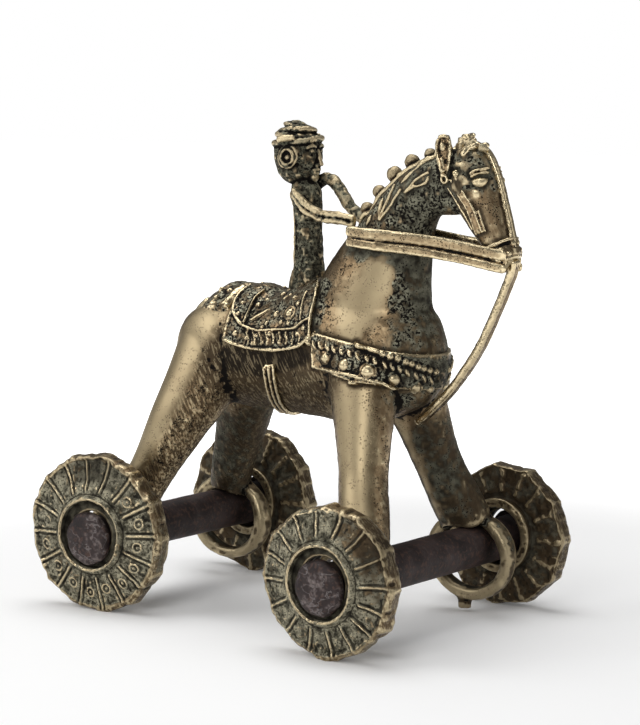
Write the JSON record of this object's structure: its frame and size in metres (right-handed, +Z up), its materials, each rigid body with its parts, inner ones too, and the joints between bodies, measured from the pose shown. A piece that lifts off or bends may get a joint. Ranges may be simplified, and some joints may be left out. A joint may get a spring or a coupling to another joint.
{
  "type": "cast toy horse on wheels",
  "caption": "Cast brass toy horse with a rider, saddle cloth and bridle, on ringed legs over two iron axles with fluted wheels.",
  "frame": {"origin": "middle of the toy's length and width, on the ground it stands on", "axes": "+X the way the horse faces, +Y towards its left side, +Z up"},
  "size_m": [0.1606, 0.1114, 0.1585],
  "materials": {
    "polished_brass": "cast, worn bright on the high places, with dark pits",
    "patinated_brass": "cast relief with a grey green patina in the hollows",
    "forged_iron": "dark, scratched and lightly rusted"
  },
  "bodies": {
    "horse": {"horse_body": "polished_brass", "mane": "patinated_brass", "saddle_cloth": "patinated_brass", "crupper_cloth": "patinated_brass", "girth_strap": "polished_brass", "breast_collar": "polished_brass", "noseband": "polished_brass", "nose_strap": "polished_brass", "left_cheek_strap": "polished_brass", "right_cheek_strap": "polished_brass", "left_rein": "polished_brass", "right_rein": "polished_brass", "martingale": "polished_brass", "tail": "polished_brass", "rider": "polished_brass"},
    "front_axle": {"front_axle": "forged_iron"},
    "rear_axle": {"rear_axle": "forged_iron"},
    "wheel_front_left": {"wheel_front_left": "patinated_brass"},
    "wheel_front_right": {"wheel_front_right": "patinated_brass"},
    "wheel_rear_left": {"wheel_rear_left": "patinated_brass"},
    "wheel_rear_right": {"wheel_rear_right": "patinated_brass"}
  },
  "joints": [
    {"name": "front_axle_spin", "type": "hinge", "parent": "horse", "child": "front_axle", "pos_m": [0.045, 0, 0.02239], "axis": [0, 1, 0], "continuous": true},
    {"name": "rear_axle_spin", "type": "hinge", "parent": "horse", "child": "rear_axle", "pos_m": [-0.055, 0, 0.02418], "axis": [0, 1, 0], "continuous": true},
    {"name": "wheel_front_left_spin", "type": "hinge", "parent": "horse", "child": "wheel_front_left", "pos_m": [0.045, 0.0476, 0.02349], "axis": [0, 1, 0], "continuous": true},
    {"name": "wheel_front_right_spin", "type": "hinge", "parent": "horse", "child": "wheel_front_right", "pos_m": [0.045, -0.0476, 0.02349], "axis": [0, 1, 0], "continuous": true},
    {"name": "wheel_rear_left_spin", "type": "hinge", "parent": "horse", "child": "wheel_rear_left", "pos_m": [-0.055, 0.0403, 0.02528], "axis": [0, 1, 0], "continuous": true},
    {"name": "wheel_rear_right_spin", "type": "hinge", "parent": "horse", "child": "wheel_rear_right", "pos_m": [-0.055, -0.0403, 0.02528], "axis": [0, 1, 0], "continuous": true}
  ]
}
